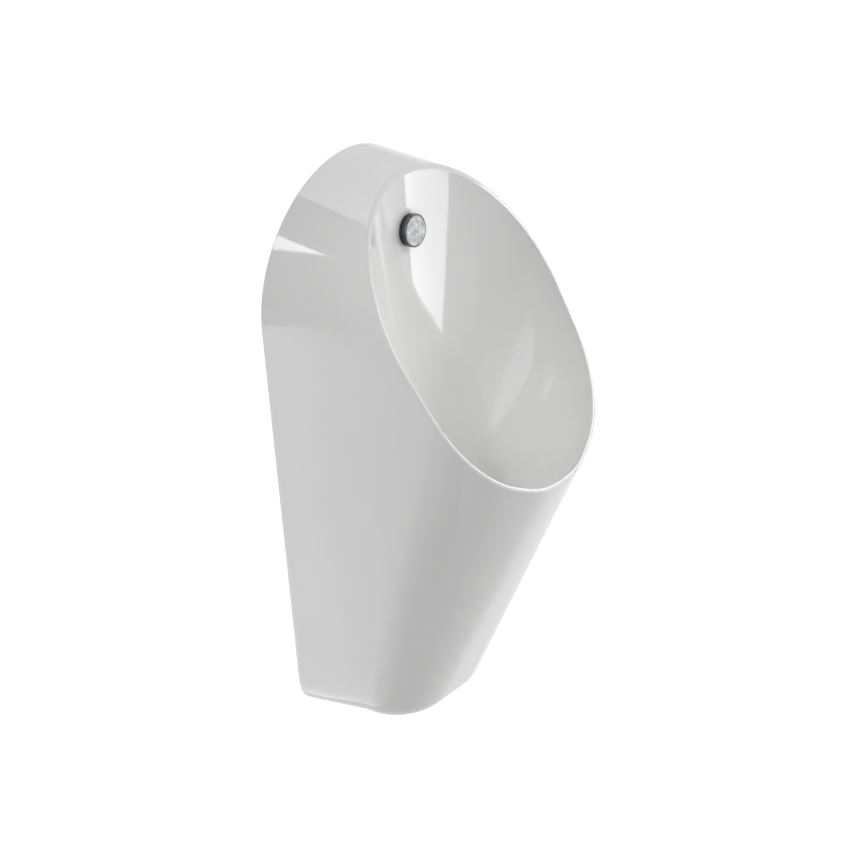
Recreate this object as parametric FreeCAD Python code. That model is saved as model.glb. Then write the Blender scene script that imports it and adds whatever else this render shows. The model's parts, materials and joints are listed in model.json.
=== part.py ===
import FreeCAD, Part
import math
import os

V = FreeCAD.Vector

# Frame: x to the right, the wall plane at y = 0, the front towards -y, z up.
# Places are worked out as (x, depth in front of the wall, height above the base);
# the finished pieces then move down so that the middle of the wall fixings is the origin.

# Ceramic body: a dome on two leaning flanks, an inclined front and an inclined oval rim
body_height = 650.0
dome_radius = 139.8
flank_lean = 7.07
side_draft_share = 0.003
base_rise_share = 0.165
base_depth = 135.2
lip_depth = 289.1
lip_height_share = 0.537
rim_top_depth = 80.8
corner_base_share = 0.406
corner_lip_share = 0.76
corner_room_share = 0.8
base_edge_share = 0.305
skin_wall = 11.0
rim_solid = 24.0
rim_width = 4.2
rim_edge_radius = 1.6

# Bowl: ribs run from the rim to the flat seat of the drain
bowl_wall = 13.0
bowl_drop = 78.0
bowl_mouth_overlap = 0.5
back_hollow = 7.0
drain_seat_radius = 38.0
drain_hole_radius = 25.6
rib_count = 32
section_count = 7
rib_start_share = 0.35
rib_end_share = 0.3
rib_gap_share = 0.8
rib_narrow_share = 0.93
side_spread_share = 0.4

# Spray head in the upper back wall of the bowl
spray_drop = 66.5
spray_tilt = 10.5
spray_boss_radius = 24.0
spray_boss_wall = 13.0
spray_seat_radius = 20.5
spray_hole_radius = 10.6
spray_gasket_thickness = 1.5
spray_flange_radius = 16.5
spray_flange_thickness = 2.5
spray_shank_radius = 10.0
spray_shank_length = 46.0
spray_bore_radius = 6.5
spray_neck_radius = 8.0
spray_neck_length = 3.9
spray_port_radius = 1.1
spray_port_count = 5
spray_port_fan = 30.0
spray_slot = 0.6
spray_cap_radius = 18.0
spray_cap_thickness = 5.0
spray_cap_wall = 2.5
spray_cap_chamfer = 1.1
spray_washer_thickness = 2.0
spray_washer_radius = 19.0
spray_nut_across = 32.0
spray_nut_thickness = 8.0

# Flush line from the valve up to the spray head
elbow_sleeve_length = 19.0
elbow_outer_radius = 13.5
elbow_bend_radius = 20.0
elbow_tail = 16.0
pipe_radius = 8.0
pipe_wall = 1.5
pipe_engagement = 12.0
pipe_nut_across = 24.0
pipe_nut_thickness = 9.0

# Stop valve with a quarter-turn plug
inlet_drop = 250.0
inlet_socket_radius = 10.48
inlet_socket_length = 13.5
inlet_end_gap = 0.5
valve_radius = 14.0
valve_bore_radius = 6.0
valve_top = 26.0
valve_bottom = 22.0
valve_flange_radius = 22.0
valve_flange_thickness = 3.0
plug_radius = 8.5
plug_half_height = 9.9
plug_port_radius = 5.0
plug_clearance = 0.06
spindle_radius = 4.0
spindle_reach = 38.0
gland_radius = 11.0
gland_seat = 11.0
gland_head = 4.0
knob_radius = 11.0
knob_thickness = 11.0
knob_groove_radius = 2.5
knob_groove_count = 8
valve_screw_circle = 18.0
valve_screw_radius = 2.0
valve_screw_head_radius = 3.5
valve_screw_head = 2.5
valve_screw_end_gap = 0.6

# Solenoid valve that opens the flush
solenoid_height = 58.0
solenoid_radius = 13.0
solenoid_spigot_radius = 9.0
solenoid_spigot_length = 9.5
solenoid_face = 16.0
solenoid_chamber_radius = 9.0
solenoid_chamber_end = 4.0
solenoid_port_radius = 2.25
bonnet_thickness = 4.0
armature_radius = 7.0
armature_bore_radius = 5.0
armature_length = 36.0
armature_end_wall = 2.0
armature_stud_radius = 4.0
armature_stud_length = 6.0
coil_width = 34.0
coil_height = 40.0
coil_edge_radius = 4.0
coil_nut_across = 14.0
coil_nut_thickness = 5.0
plunger_nose_length = 12.0
plunger_stroke = 4.5
plunger_clearance = 0.05
spring_radius = 3.6
spring_wire_radius = 0.45
spring_turns = 3
spring_closed_length = 3.5

# Wall console that carries the ceramic, the valve and the control
console_side_gap = 6.0
console_thickness = 3.0
console_below_inlet = 50.0
console_corner_radius = 12.0
console_window_width = 70.0
console_window_height = 22.0
console_window_drop = 33.0
wall_hole_radius = 4.5
wall_hole_inset = 12.0
wall_hole_low = 38.0
wall_hole_high = 105.0
hook_drop = 120.0
hook_offset = 70.0
hook_width = 26.0
hook_reach = 33.0
hook_lip = 14.0
hook_pad_thickness = 2.0
hook_clearance = 3.0
web_thickness = 14.0
web_setback = 10.0

# Flush control and its battery, each in a screwed case on the console
case_depth = 24.0
case_wall = 2.0
case_edge_radius = 4.0
lid_thickness = 5.0
lid_screw_radius = 1.5
lid_screw_head_radius = 2.8
lid_screw_head = 1.6
lid_screw_length = 14.0
lid_boss_radius = 3.6
control_offset = 55.0
control_rise = 57.0
control_width = 52.0
control_height = 78.0
board_thickness = 1.6
board_stand = 6.0
board_gap = 0.5
sensor_size = 26.0
sensor_thickness = 7.0
battery_offset = 54.0
battery_drop = 15.0
battery_width = 58.0
battery_height = 70.0
cell_radius = 7.0
cell_length = 50.0
cell_count = 3
cell_pitch = 15.5
cell_tip_radius = 2.6
cell_tip_length = 1.2

# Waste: strainer, flanged waste body and tubular trap
waste_gasket_thickness = 2.0
waste_gasket_radius = 34.0
waste_flange_radius = 35.0
waste_flange_thickness = 4.5
waste_shank_radius = 25.0
waste_shank_length = 48.0
waste_bore_radius = 21.0
strainer_thickness = 2.0
strainer_clearance = 0.3
strainer_rim = 3.8
strainer_hole_radius = 2.4
strainer_ring_pitch = 8.2
strainer_ring_count = 3
strainer_knob_radius = 5.0
strainer_knob_height = 6.0
strainer_knob_round = 1.5
lower_gasket_thickness = 3.0
lower_gasket_radius = 40.0
waste_nut_radius = 39.0
waste_nut_thickness = 12.0
waste_nut_notch_radius = 4.0
waste_nut_notch_count = 8
trap_tube_radius = 20.5
trap_tube_wall = 2.0
trap_bend_radius = 34.0
trap_entry = 14.0
trap_drop = 78.0
trap_front_gap = 5.0
trap_bell_length = 20.0
trap_bell_rise = 24.0
trap_tail_engagement = 16.0
trap_turn_rise = 10.0
trap_clearance = 0.1
slip_washer_thickness = 3.0
slip_nut_radius = 29.0
slip_nut_grip = 12.0
slip_nut_lip = 3.0
slip_nut_notch_radius = 3.5
slip_nut_notch_count = 10
cleanout_boss_radius = 13.0
cleanout_boss_drop = 30.0
cleanout_hole_radius = 9.0
cleanout_plug_length = 9.0
cleanout_plug_across = 22.0
cleanout_plug_head = 6.0
cleanout_seal_radius = 12.5
cleanout_seal_thickness = 1.5
outlet_engagement = 13.0
outlet_socket_length = 41.0
outlet_socket_wall = 4.8
outlet_socket_bore = 25.2
outlet_stop_length = 2.0
wall_seal_thickness = 3.0
wall_seal_radius = 37.0

# Lower fixing: an angle on the wall and a screw from below
bracket_half_width = 22.0
bracket_thickness = 3.0
bracket_rise = 40.0
bracket_reach = 50.0
bracket_hole_radius = 3.2
bracket_hole_spacing = 28.0
bracket_hole_rise = 28.0
bracket_edge_radius = 6.0
floor_pad_radius = 15.0
floor_pad_thickness = 13.0
floor_screw_depth = 32.0
floor_counterbore_radius = 10.0
floor_counterbore_depth = 11.0
floor_hole_radius = 5.0
floor_screw_radius = 4.0
floor_screw_head_radius = 6.5
floor_screw_head = 5.0
floor_washer_thickness = 1.5
floor_washer_radius = 9.5
weld_nut_across = 13.0
weld_nut_thickness = 6.0
cap_plug_thickness = 2.2
cap_plug_gap = 0.3

# Fits and cuts shared by all pieces
overrun = 20.0
thread_clearance = 0.05
hole_clearance = 0.3

# Worked out from the sizes above
dome_height = body_height - dome_radius
lip_height = lip_height_share * body_height
corner_base_radius = corner_base_share * dome_radius
spring_height = dome_height - dome_radius * math.sin(math.radians(flank_lean))
corner_room = corner_room_share * (spring_height - lip_height)
corner_lip_radius = min(corner_lip_share * dome_radius, corner_room)
base_edge_radius = base_edge_share * dome_radius
front_lean = math.atan2(lip_depth - base_depth, lip_height)
rim_top_height = body_height - side_draft_share * rim_top_depth
rim_lean = math.atan2(lip_depth - rim_top_depth, rim_top_height - lip_height)
drain_height = lip_height - bowl_drop
inlet_height = body_height - inlet_drop
origin_height = inlet_height + (wall_hole_high - wall_hole_low) / 2
spray_height = body_height - spray_drop
hook_height = body_height - hook_drop
spring_room = plunger_stroke + spring_closed_length
floor_counterbore_height = base_rise_share * floor_screw_depth + floor_counterbore_depth
floor_pad_height = floor_counterbore_height + floor_pad_thickness

up = V(0, 0, 1)
to_wall = V(0, 1, 0)
to_right = V(1, 0, 0)


def at(x, depth, height):
    return V(x, -depth, height)


def placed(shape, origin, axis):
    """Turn a shape made along +z so that it points along axis from origin."""
    shape.Placement = FreeCAD.Placement(origin, FreeCAD.Rotation(up, axis))
    return shape


def turned(outline, origin, axis):
    """A turned piece: outline holds (radius, place along the axis) corners."""
    points = [V(radius, 0, along) for radius, along in outline]
    face = Part.Face(Part.makePolygon(points + points[:1]))
    return placed(face.revolve(V(0, 0, 0), up, 360), origin, axis)


def ring(inner, outer, start, end, origin, axis):
    return turned([(inner, start), (outer, start), (outer, end), (inner, end)], origin, axis)


def rod(radius, start, end, origin, axis):
    return turned([(0, start), (radius, start), (radius, end), (0, end)], origin, axis)


def hexagon(across, start, end, origin, axis):
    corner = across / math.sqrt(3)
    turns = [k * math.pi / 3 for k in range(7)]
    points = [V(corner * math.cos(turn), corner * math.sin(turn), start) for turn in turns]
    prism = Part.Face(Part.makePolygon(points)).extrude(V(0, 0, end - start))
    return placed(prism, origin, axis)


def hex_nut(across, bore, start, end, origin, axis):
    return hexagon(across, start, end, origin, axis).cut(rod(bore, start, end, origin, axis))


def block(left, right, back, front, low, high):
    """A box between two x places, two depths and two heights."""
    return Part.makeBox(right - left, front - back, high - low, at(left, front, low))


def rounded(shape, radius, along):
    """Round the straight edges of a box that run along one direction."""
    edges = [e for e in shape.Edges if abs(e.tangentAt(e.FirstParameter).dot(along)) > 0.99]
    return shape.makeFillet(radius, edges)


def fused(shapes):
    whole = shapes[0].multiFuse(shapes[1:])
    return whole.removeSplitter()


def face_on(shape, point, normal):
    """The face of a shape that lies wholly on a plane."""
    direction = V(normal).normalize()
    reach = overrun * 1e-3
    for face in shape.Faces:
        if max(abs((v.Point - point).dot(direction)) for v in face.Vertexes) < reach:
            return face
    return None


# Ceramic body


def front_depth(height, inset):
    return base_depth + height * math.tan(front_lean) - inset / math.cos(front_lean)


def rim_depth(height, setback):
    return lip_depth - (height - lip_height) * math.tan(rim_lean) - setback / math.cos(rim_lean)


def base_level(depth):
    return base_rise_share * depth


def arch_spring(depth, inset):
    """The dome's radius at one depth, and the x and height where it passes into a flank."""
    lean = math.radians(flank_lean)
    radius = dome_radius - side_draft_share * depth - inset
    return radius, radius * math.cos(lean), dome_height - radius * math.sin(lean)


def flank_half_width(depth, height, inset):
    radius, spring_x, spring_z = arch_spring(depth, inset)
    return spring_x - (spring_z - height) * math.tan(math.radians(flank_lean))


def arch_wire(depth, inset):
    """The body's outline at one depth: an arc over two tangent flanks and a base line."""
    radius, spring_x, spring_z = arch_spring(depth, inset)
    base_z = base_level(depth) + inset
    base_x = flank_half_width(depth, base_z, inset)
    left = at(-spring_x, depth, spring_z)
    right = at(spring_x, depth, spring_z)
    base_left = at(-base_x, depth, base_z)
    base_right = at(base_x, depth, base_z)
    return Part.Wire([
        Part.Arc(left, at(0, depth, dome_height + radius), right).toShape(),
        Part.LineSegment(right, base_right).toShape(),
        Part.LineSegment(base_right, base_left).toShape(),
        Part.LineSegment(base_left, left).toShape(),
    ])


def side_prism(inset, setback):
    """Everything behind the inclined front and the inclined rim."""
    low = -overrun
    high = body_height + overrun
    gap = rim_depth(low, setback) - front_depth(low, inset)
    meeting = low + gap / (math.tan(front_lean) + math.tan(rim_lean))
    half = dome_radius + overrun
    points = [
        at(-half, -overrun, low),
        at(-half, front_depth(low, inset), low),
        at(-half, front_depth(meeting, inset), meeting),
        at(-half, rim_depth(high, setback), high),
        at(-half, -overrun, high),
    ]
    return Part.Face(Part.makePolygon(points + points[:1])).extrude(V(2 * half, 0, 0))


def pot(inset, setback, back):
    """The body as a full block, drawn in by inset, cut at the rim and rounded at its corners and base."""
    shape = Part.makeLoft([arch_wire(back, inset), arch_wire(lip_depth + overrun, inset)], True, True)
    shape = shape.common(side_prism(inset, setback)).Solids[0]
    front_normal = V(0, -math.cos(front_lean), -math.sin(front_lean))
    growth = (corner_lip_radius - corner_base_radius) / lip_height
    for side in (-1, 1):
        front = face_on(shape, at(0, front_depth(0, inset), 0), front_normal)
        edge = max(front.Edges, key=lambda e: e.CenterOfMass.x * side)
        radii = [corner_base_radius + growth * edge.valueAt(p).z - inset for p in edge.ParameterRange]
        shape = shape.makeFillet(radii[0], radii[1], [edge])
    base = face_on(shape, at(0, 0, inset), V(0, base_rise_share, 1))
    wall_edge = max(base.Edges, key=lambda e: e.CenterOfMass.y)
    edges = [e for e in base.Edges if not e.isSame(wall_edge)]
    return shape.makeFillet(base_edge_radius - inset, edges)


def rim_plane_face(shape, setback):
    normal = V(0, -math.cos(rim_lean), math.sin(rim_lean))
    return face_on(shape, at(0, rim_depth(0, setback), 0), normal)


def drain_depth():
    """The drain stands where the trap's bend below it clears the inclined front."""
    level = drain_height - trap_drop
    reach = trap_bend_radius + trap_tube_radius + trap_front_gap
    return front_depth(level, skin_wall) + trap_bend_radius - reach / math.cos(front_lean)


def bowl_top(inset):
    """The highest point of the bowl's mouth, where the crown meets the rim plane."""
    lean = math.tan(rim_lean)
    mouth = lip_depth + lip_height * lean + bowl_mouth_overlap / math.cos(rim_lean)
    height = (body_height - inset - side_draft_share * mouth) / (1 - side_draft_share * lean)
    return at(0, mouth - height * lean, height)


def bowl_rib(start, grow, middle, half_height, half_width):
    """Four control points of the curve that runs from one rim point down to the drain seat."""
    top = bowl_top(rim_width - grow)
    radius = drain_seat_radius + grow
    seat = drain_height - grow
    slope = (drain_depth() - radius + top.y) / (top.z - seat)
    angle = math.atan2((start.z - middle) / half_height, start.x / half_width)
    rise = math.sin(angle)
    side = math.cos(angle)
    fall = start.z - seat
    end = at(radius * side, drain_depth() - radius * rise, seat)
    drop = rib_start_share * fall
    gap = -start.y - (-top.y + (top.z - start.z) * slope)
    back_line = -top.y + (top.z - start.z + drop) * slope
    behind = at(start.x * rib_narrow_share, back_line + rib_gap_share * gap, start.z - drop)
    behind += to_wall * back_hollow * max(0, rise) ** 2
    ahead = at(start.x * rib_narrow_share, -start.y - drop * math.tan(front_lean), start.z - drop)
    first = behind + (ahead - behind) * ((1 - rise) / 2) ** 2
    flare = slope if rise > 0 else math.tan(front_lean)
    lift = rib_end_share * fall
    spread = lift * (side_spread_share * side ** 2 + flare * rise ** 2)
    second = end + at(side * spread, -rise * spread, lift)
    return start, first, second, end


def rib_point(rib, t):
    a, b, c, d = rib
    s = 1 - t
    return a * s ** 3 + b * (3 * s * s * t) + c * (3 * s * t * t) + d * t ** 3


def bowl_solid(grow):
    """The hollow of the bowl as a solid, or with grow its outer side behind the ceramic wall."""
    mouth = rim_plane_face(pot(rim_width - grow, -bowl_mouth_overlap, 0), -bowl_mouth_overlap)
    points = Part.Wire(mouth.OuterWire.OrderedEdges).discretize(Number=rib_count + 1)[:-1]
    heights = [p.z for p in points]
    middle = (max(heights) + min(heights)) / 2
    half_height = (max(heights) - min(heights)) / 2
    half_width = max(p.x for p in points)
    ribs = [bowl_rib(p, grow, middle, half_height, half_width) for p in points]
    steps = [k / rib_count for k in range(rib_count + 1)]
    wires = []
    for k in range(section_count):
        curve = Part.BSplineCurve()
        section = [rib_point(rib, k / (section_count - 1)) for rib in ribs]
        curve.interpolate(Points=section, PeriodicFlag=True, Parameters=steps)
        wires.append(Part.Wire([curve.toShape()]))
    return Part.makeLoft(wires, True, False, False, 3)


def spray_frame():
    """Where the spray head's axis meets the back wall of the bowl, and its direction to the front."""
    top = bowl_top(rim_width)
    rib = bowl_rib(top, 0, (top.z + lip_height) / 2, (top.z - lip_height) / 2, dome_radius)
    low, high = 0.0, 1.0
    for _ in range(40):
        t = (low + high) / 2
        if rib_point(rib, t).z > spray_height:
            low = t
        else:
            high = t
    tilt = math.radians(spray_tilt)
    return rib_point(rib, low), V(0, -math.cos(tilt), math.sin(tilt))


def make_ceramic():
    spray_point, spray_axis = spray_frame()
    drain = at(0, drain_depth(), drain_height)
    floor_screw = at(0, floor_screw_depth, 0)
    inner = pot(skin_wall, rim_solid, -overrun)
    shape = pot(0, 0, 0).cut(inner.cut(bowl_solid(bowl_wall)))
    webs = []
    for side in (-1, 1):
        x = side * hook_offset
        left, right = x - web_thickness / 2, x + web_thickness / 2
        web = block(left, right, web_setback, lip_depth, hook_height, body_height)
        lip_back = hook_reach - console_thickness - hook_clearance
        notch = block(x - web_thickness, x + web_thickness, lip_back, hook_reach + hook_clearance,
                      hook_height, hook_height + hook_lip - hook_pad_thickness + hook_clearance)
        webs.append(web.cut(notch).common(pot(skin_wall / 2, rim_solid, 0)))
    boss = rod(spray_boss_radius, -spray_boss_wall, 0, spray_point, spray_axis)
    pad_low = base_level(floor_screw_depth) + skin_wall / 2
    pad = rod(floor_pad_radius, pad_low, floor_pad_height, floor_screw, up)
    shape = fused([shape, boss, pad] + webs)
    cuts = [
        bowl_solid(0),
        rod(spray_seat_radius, 0, overrun, spray_point, spray_axis),
        rod(spray_hole_radius, -spray_boss_wall - overrun, overrun, spray_point, spray_axis),
        rod(drain_hole_radius, -bowl_wall - overrun, overrun, drain, up),
        rod(floor_counterbore_radius, -overrun, floor_counterbore_height, floor_screw, up),
        rod(floor_hole_radius, 0, floor_pad_height + overrun, floor_screw, up),
    ]
    for cut in cuts:
        shape = shape.cut(cut)
    shape = max(shape.Solids, key=lambda s: s.Volume)
    return shape.makeFillet(rim_edge_radius, rim_plane_face(shape, 0).Edges)


# Spray head


def spray_places():
    """Places along the spray axis, from the ceramic seat forwards and backwards."""
    flange = spray_gasket_thickness
    face = flange + spray_flange_thickness
    neck_end = face + spray_neck_length
    cap = face + spray_slot
    washer = -spray_boss_wall - spray_washer_thickness
    return flange, face, neck_end, cap, washer


def make_spray_head():
    point, axis = spray_frame()
    flange, face, neck_end, cap, washer = spray_places()
    cap_end = cap + spray_cap_thickness
    stem = turned([
        (spray_bore_radius, -spray_shank_length),
        (spray_shank_radius, -spray_shank_length),
        (spray_shank_radius, flange),
        (spray_flange_radius, flange),
        (spray_flange_radius, face),
        (spray_neck_radius, face),
        (spray_neck_radius, neck_end),
        (0, neck_end),
        (0, face),
        (spray_bore_radius, face - spray_flange_thickness / 2),
    ], point, axis)
    port_axis = V(0, -axis.z, axis.y)
    middle = point + axis * (face + spray_neck_length / 2)
    for k in range(spray_port_count):
        turn = (k - (spray_port_count - 1) / 2) * spray_port_fan
        direction = FreeCAD.Rotation(axis, turn).multVec(port_axis)
        stem = stem.cut(rod(spray_port_radius, 0, spray_flange_radius, middle, direction))
    well = rod(spray_neck_radius - spray_cap_wall, flange, neck_end - spray_cap_wall / 2, point, axis)
    stem = stem.cut(well)
    socket = spray_neck_radius + thread_clearance
    inside = spray_cap_radius - spray_cap_wall
    ceiling = cap_end - spray_cap_wall
    spray_cap = turned([
        (0, neck_end + thread_clearance),
        (socket, neck_end + thread_clearance),
        (socket, ceiling - spray_cap_wall / 4),
        (inside, ceiling - spray_cap_wall / 2),
        (inside, cap),
        (spray_cap_radius, cap),
        (spray_cap_radius, cap_end - spray_cap_chamfer),
        (spray_cap_radius - spray_cap_chamfer, cap_end),
        (0, cap_end),
    ], point, axis)
    inner = spray_shank_radius + hole_clearance
    thread = spray_shank_radius + thread_clearance
    nut_end = washer - spray_nut_thickness
    return {
        "spray_gasket": ring(inner, spray_flange_radius, 0, flange, point, axis),
        "spray_stem": stem,
        "spray_cap": spray_cap,
        "spray_back_washer": ring(inner, spray_washer_radius, washer, -spray_boss_wall, point, axis),
        "spray_lock_nut": hex_nut(spray_nut_across, thread, nut_end, washer, point, axis),
    }


# Flush line


def elbow_path():
    """The bend behind the spray head: start, middle and end of its arc."""
    point, axis = spray_frame()
    tilt = math.radians(spray_tilt)
    start = point - axis * spray_shank_length
    centre = start + V(0, -math.sin(tilt), -math.cos(tilt)) * elbow_bend_radius
    half = (math.pi / 2 - tilt) / 2
    middle = centre + V(0, math.cos(half), math.sin(half)) * elbow_bend_radius
    end = centre + to_wall * elbow_bend_radius
    return start, middle, end


def flush_line_depth():
    return -elbow_path()[2].y


def bend(radius):
    start, middle, end = elbow_path()
    point, axis = spray_frame()
    circle = Part.Wire([Part.Circle(start, axis, radius).toShape()])
    path = Part.Wire([Part.Arc(start, middle, end).toShape()])
    return path.makePipeShell([circle], True, True)


def pipe_levels():
    """Heights of the flush pipe's two sockets: the valve's top and the elbow's foot."""
    valve = inlet_height + valve_top + solenoid_height
    elbow = elbow_path()[2].z - elbow_tail
    return valve, elbow


def make_flush_line():
    point, axis = spray_frame()
    start, middle, end = elbow_path()
    valve, elbow = pipe_levels()
    fit = spray_shank_radius + thread_clearance
    sleeve = rod(elbow_outer_radius, -spray_shank_length, elbow_sleeve_length - spray_shank_length, point, axis)
    tail = rod(elbow_outer_radius, -elbow_tail, 0, end, up)
    outside = fused([sleeve, bend(elbow_outer_radius), tail])
    cuts = [
        rod(fit, -spray_shank_length, overrun - spray_shank_length, point, axis),
        bend(spray_bore_radius),
        rod(spray_bore_radius, -elbow_tail, 0, end, up),
        rod(pipe_radius + thread_clearance, -elbow_tail - overrun, pipe_engagement - elbow_tail, end, up),
    ]
    for cut in cuts:
        outside = outside.cut(cut)
    line = at(0, flush_line_depth(), 0)
    foot, top = valve - pipe_engagement, elbow + pipe_engagement
    pipe = ring(pipe_radius - pipe_wall, pipe_radius, foot, top, line, up)
    bore = pipe_radius + thread_clearance
    lower_nut = hex_nut(pipe_nut_across, bore, valve, valve + pipe_nut_thickness, line, up)
    upper_nut = hex_nut(pipe_nut_across, bore, elbow - pipe_nut_thickness, elbow, line, up)
    return {
        "flush_elbow": outside,
        "flush_pipe": pipe,
        "pipe_union_nuts": Part.makeCompound([lower_nut, upper_nut]),
    }


# Stop valve


def valve_screw_points():
    return [at(side * valve_screw_circle, 0, inlet_height) for side in (-1, 1)]


def make_stop_valve():
    line = flush_line_depth()
    centre = at(0, line, inlet_height)
    mouth = at(0, 0, inlet_height)
    to_front = -to_wall
    plate = console_thickness
    flange_end = plate + valve_flange_thickness
    body = fused([
        rod(valve_radius, -valve_bottom, valve_top, centre, up),
        rod(valve_radius, inlet_end_gap, line, mouth, to_front),
        rod(valve_flange_radius, plate, flange_end, mouth, to_front),
    ])
    chamber = plug_radius + plug_clearance
    roof = plug_half_height + plug_clearance
    cuts = [
        rod(inlet_socket_radius, 0, inlet_socket_length, mouth, to_front),
        rod(valve_bore_radius, 0, line, mouth, to_front),
        rod(chamber, -valve_bottom, roof, centre, up),
        rod(valve_bore_radius, 0, valve_top, centre, up),
        rod(solenoid_spigot_radius + thread_clearance, valve_top - solenoid_spigot_length - thread_clearance,
            valve_top, centre, up),
    ]
    screws = []
    for screw in valve_screw_points():
        cuts.append(rod(valve_screw_radius + thread_clearance, 0, flange_end, screw, to_front))
        screws.append(turned([
            (0, valve_screw_end_gap),
            (valve_screw_radius, valve_screw_end_gap),
            (valve_screw_radius, flange_end),
            (valve_screw_head_radius, flange_end),
            (valve_screw_head_radius, flange_end + valve_screw_head),
            (0, flange_end + valve_screw_head),
        ], screw, to_front))
    for cut in cuts:
        body = body.cut(cut)
    gland_top = gland_seat - valve_bottom
    bore = spindle_radius + plug_clearance
    gland = fused([
        ring(bore, plug_radius, -valve_bottom, gland_top, centre, up),
        hex_nut(2 * gland_radius, bore, -valve_bottom - gland_head, -valve_bottom, centre, up),
    ])
    spindle = turned([
        (0, -spindle_reach),
        (spindle_radius, -spindle_reach),
        (spindle_radius, -plug_half_height),
        (plug_radius, -plug_half_height),
        (plug_radius, plug_half_height),
        (0, plug_half_height),
    ], centre, up)
    spindle = spindle.cut(rod(plug_port_radius, 0, plug_radius * 2, centre, to_wall))
    spindle = spindle.cut(rod(plug_port_radius, 0, plug_radius * 2, centre, up))
    knob_top = knob_thickness - spindle_reach
    knob = ring(spindle_radius, knob_radius, -spindle_reach, knob_top, centre, up)
    for k in range(knob_groove_count):
        turn = 2 * math.pi * k / knob_groove_count
        place = centre + V(math.cos(turn), math.sin(turn), 0) * (knob_radius + knob_groove_radius / 2)
        knob = knob.cut(rod(knob_groove_radius, -spindle_reach, knob_top, place, up))
    return {
        "stop_valve_body": body,
        "stop_valve_gland": gland,
        "stop_valve_spindle": spindle,
        "stop_valve_knob": knob,
        "stop_valve_screws": Part.makeCompound(screws),
    }


# Solenoid valve


def solenoid_centre():
    return at(0, flush_line_depth(), inlet_height + valve_top + solenoid_height / 2)


def make_solenoid():
    centre = solenoid_centre()
    half = solenoid_height / 2
    port_x = solenoid_port_radius - solenoid_chamber_end
    port = centre + to_right * port_x
    body = fused([
        rod(solenoid_radius, -half, half, centre, up),
        rod(solenoid_spigot_radius, -half - solenoid_spigot_length, -half, centre, up),
        rod(solenoid_radius, 0, solenoid_face, centre, to_right),
    ])
    floor = solenoid_chamber_radius + solenoid_port_radius
    cuts = [
        rod(solenoid_chamber_radius, -solenoid_chamber_end, solenoid_face, centre, to_right),
        rod(solenoid_port_radius, -floor, floor, port, up),
        rod(valve_bore_radius, -half - solenoid_spigot_length, -floor, centre, up),
        rod(valve_bore_radius, floor, half, centre, up),
        rod(pipe_radius + thread_clearance, half - pipe_engagement, half, centre, up),
    ]
    for cut in cuts:
        body = body.cut(cut)
    bonnet_end = solenoid_face + bonnet_thickness
    tube_end = bonnet_end + armature_length
    bore_end = tube_end - armature_end_wall
    bore = armature_bore_radius + plunger_clearance
    armature = turned([
        (bore, solenoid_face),
        (solenoid_radius, solenoid_face),
        (solenoid_radius, bonnet_end),
        (armature_radius, bonnet_end),
        (armature_radius, tube_end),
        (armature_stud_radius, tube_end),
        (armature_stud_radius, tube_end + armature_stud_length),
        (0, tube_end + armature_stud_length),
        (0, bore_end),
        (bore, bore_end),
    ], centre, to_right)
    middle_depth = -centre.y
    coil = rounded(block(
        bonnet_end, tube_end, middle_depth - coil_width / 2, middle_depth + coil_width / 2,
        centre.z - coil_height / 2, centre.z + coil_height / 2), coil_edge_radius, to_right)
    coil = coil.cut(rod(armature_radius + thread_clearance, 0, tube_end, centre, to_right))
    stud = armature_stud_radius + thread_clearance
    nut = hex_nut(coil_nut_across, stud, tube_end, tube_end + coil_nut_thickness, centre, to_right)
    nose = solenoid_chamber_radius - plunger_clearance
    nose_end = plunger_nose_length - solenoid_chamber_end
    rod_end = bore_end - spring_room
    plunger = turned([
        (0, -solenoid_chamber_end),
        (nose, -solenoid_chamber_end),
        (nose, nose_end),
        (armature_bore_radius, nose_end),
        (armature_bore_radius, rod_end),
        (0, rod_end),
    ], centre, to_right)
    spring_start = rod_end + spring_wire_radius
    length = spring_room - 2 * spring_wire_radius
    helix = Part.makeHelix(length / spring_turns, length, spring_radius)
    wire_circle = Part.Circle(V(spring_radius, 0, 0), V(0, 1, 0), spring_wire_radius).toShape()
    spring = Part.Wire(helix.Edges).makePipeShell([Part.Wire([wire_circle])], True, True)
    spring = placed(spring, centre + to_right * spring_start, to_right)
    return {
        "solenoid_valve_body": body,
        "armature_tube": armature,
        "solenoid_coil": coil,
        "coil_nut": nut,
        "solenoid_plunger": plunger,
        "plunger_spring": spring,
    }


# Wall console


def console_half_width():
    """The console fits between the flanks at its lower edge."""
    return flank_half_width(0, inlet_height - console_below_inlet, skin_wall) - console_side_gap


def wall_hole_points():
    x = console_half_width() - wall_hole_inset
    heights = (inlet_height - wall_hole_low, inlet_height + wall_hole_high)
    return [at(side * x, 0, height) for side in (-1, 1) for height in heights]


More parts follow.
